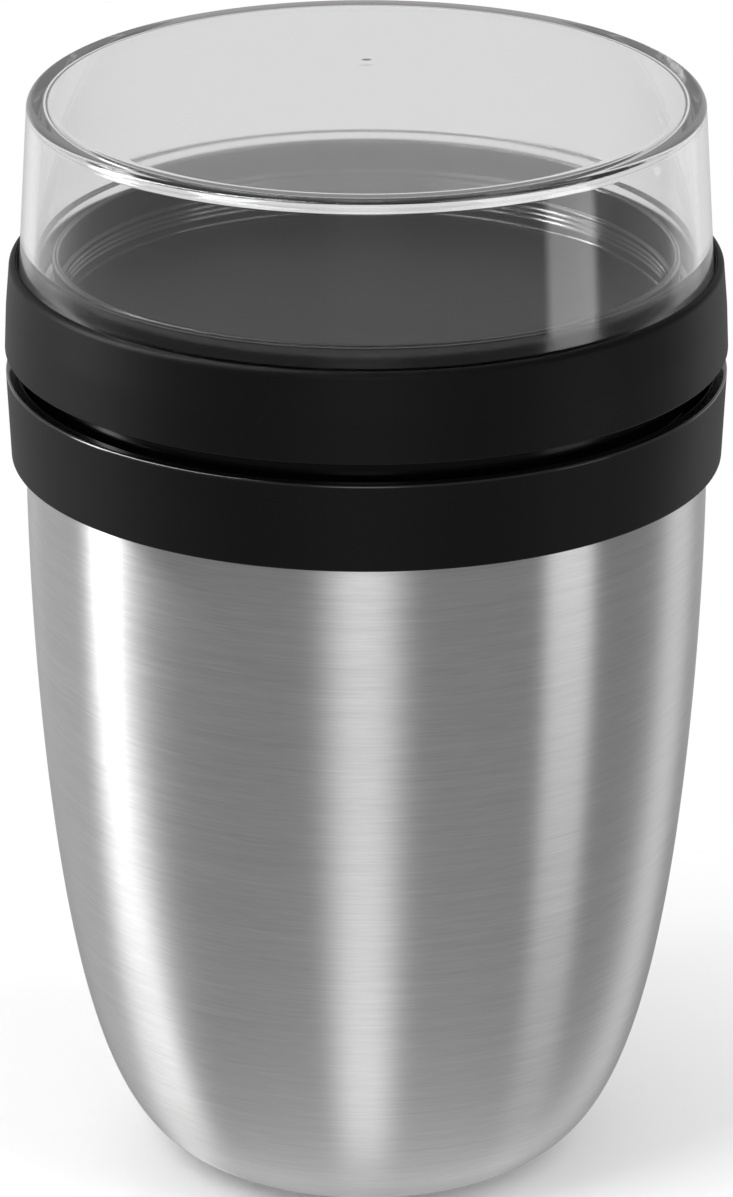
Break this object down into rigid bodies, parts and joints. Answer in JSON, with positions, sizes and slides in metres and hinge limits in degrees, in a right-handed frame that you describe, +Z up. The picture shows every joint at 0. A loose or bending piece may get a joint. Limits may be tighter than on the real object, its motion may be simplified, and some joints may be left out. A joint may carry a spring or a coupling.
{
  "type": "insulated lunch pot",
  "caption": "Double-walled steel lunch pot with a bulging foot, a black collar, a screw-in black lid with a shallow tray on top, and a clear press-on cover over the tray.",
  "frame": {"origin": "centre of the base, on the plane the pot stands on", "axes": "+Z up along the pot's axis, -Y towards the camera of the picture; the pot is round, so X and Y have no mark on the object"},
  "size_m": [0.1068, 0.1068, 0.1646],
  "materials": {
    "brushed_steel": "fine brushing round the pot",
    "plain_steel": "satin drawn steel",
    "getter_metal": "sintered",
    "glass_solder": "glossy",
    "black_plastic": "satin moulded",
    "clear_plastic": "clear polished",
    "silicone": "soft matte",
    "foam": "closed-cell foam"
  },
  "bodies": {
    "pot": {"outer_shell": "brushed_steel", "inner_vessel": "plain_steel", "getter": "getter_metal", "sealing_bead": "glass_solder", "outer_bottom": "plain_steel", "collar": "black_plastic", "collar_seal": "silicone"},
    "lid_seal": {"pot_seal": "silicone"},
    "lid": {"tray_lid": "black_plastic", "lid_liner": "black_plastic", "lid_foam": "foam", "cover_seal": "silicone"},
    "cover": {"clear_cover": "clear_plastic"}
  },
  "joints": [
    {"name": "lid_lift", "type": "slide", "parent": "pot", "child": "lid_seal", "axis": [0, 0, 1], "range_m": [0, 0.0321]},
    {"name": "lid_turn", "type": "hinge", "parent": "lid_seal", "child": "lid", "pos_m": [0, 0, 0.1192], "axis": [0, 0, 1], "range_deg": [0, 720]},
    {"name": "cover_lift", "type": "slide", "parent": "lid", "child": "cover", "axis": [0, 0, 1], "range_m": [0, 0.04]}
  ],
  "couplings": [
    {"joint": "lid_lift", "follows": "lid_turn", "m_per_rad": 0.0025465}
  ]
}
